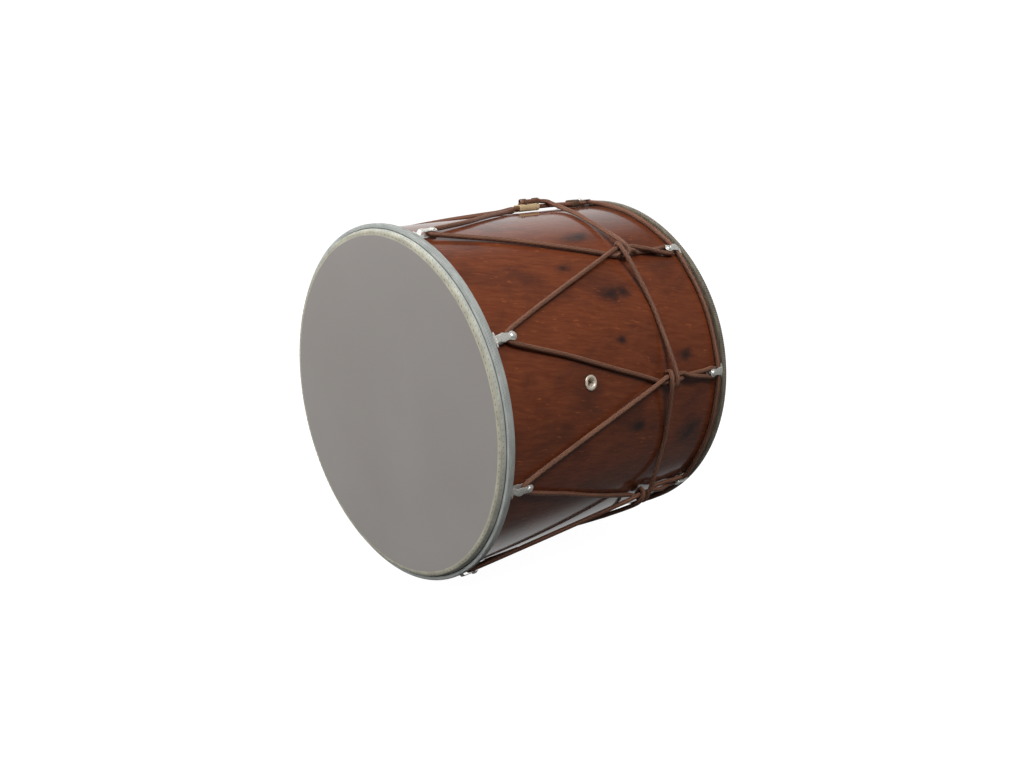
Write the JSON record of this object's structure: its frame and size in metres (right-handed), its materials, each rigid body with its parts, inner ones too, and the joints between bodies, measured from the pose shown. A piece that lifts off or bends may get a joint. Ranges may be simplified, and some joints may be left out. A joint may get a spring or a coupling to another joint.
{
  "type": "two-headed rope drum",
  "caption": "Cylinder drum lying on its side: lacquered plywood shell, pale heads on steel hoops, zigzag lacing through folded metal hooks, sliding tuning cord with wound splice, vent eyelet.",
  "frame": {"origin": "middle of the drum's footprint on the surface that it lies on; +Z up", "axes": "+Y along the drum's axis towards the rear head, which is the end beside the tuning cord; the front head faces -Y"},
  "size_m": [0.3525, 0.294, 0.352],
  "materials": {
    "lacquered_wood": "gloss lacquer over reddish brown plywood",
    "bare_wood": "bare sanded plywood",
    "film": "matt pale drum film",
    "hoop_steel": "plain flat steel",
    "nickel": "dull nickel plating",
    "rope": "braided brown cord",
    "thread": "wound tan thread"
  },
  "bodies": {
    "drum": {"shell": "lacquered_wood", "front_inner_ring": "bare_wood", "rear_inner_ring": "bare_wood", "front_head": "film", "rear_head": "film", "front_hoop": "hoop_steel", "rear_hoop": "hoop_steel", "vent_grommet": "nickel", "vent_washer": "nickel", "lacing_rope": "rope", "rim_cord": "rope", "lacing_serving": "rope", "front_hook_1": "nickel", "front_hook_2": "nickel", "front_hook_3": "nickel", "front_hook_4": "nickel", "front_hook_5": "nickel", "front_hook_6": "nickel", "front_hook_7": "nickel", "front_hook_8": "nickel", "rear_hook_1": "nickel", "rear_hook_2": "nickel", "rear_hook_3": "nickel", "rear_hook_4": "nickel", "rear_hook_5": "nickel", "rear_hook_6": "nickel", "rear_hook_7": "nickel", "rear_hook_8": "nickel", "front_rivet_1": "nickel", "front_rivet_2": "nickel", "front_rivet_3": "nickel", "front_rivet_4": "nickel", "front_rivet_5": "nickel", "front_rivet_6": "nickel", "front_rivet_7": "nickel", "front_rivet_8": "nickel", "rear_rivet_1": "nickel", "rear_rivet_2": "nickel", "rear_rivet_3": "nickel", "rear_rivet_4": "nickel", "rear_rivet_5": "nickel", "rear_rivet_6": "nickel", "rear_rivet_7": "nickel", "rear_rivet_8": "nickel"},
    "tuning_ring": {"tuning_cord": "rope", "whipping": "thread"}
  },
  "joints": [
    {"name": "tuning_slide", "type": "slide", "parent": "drum", "child": "tuning_ring", "axis": [0, 1, 0], "range_m": [0, 0.008]}
  ]
}
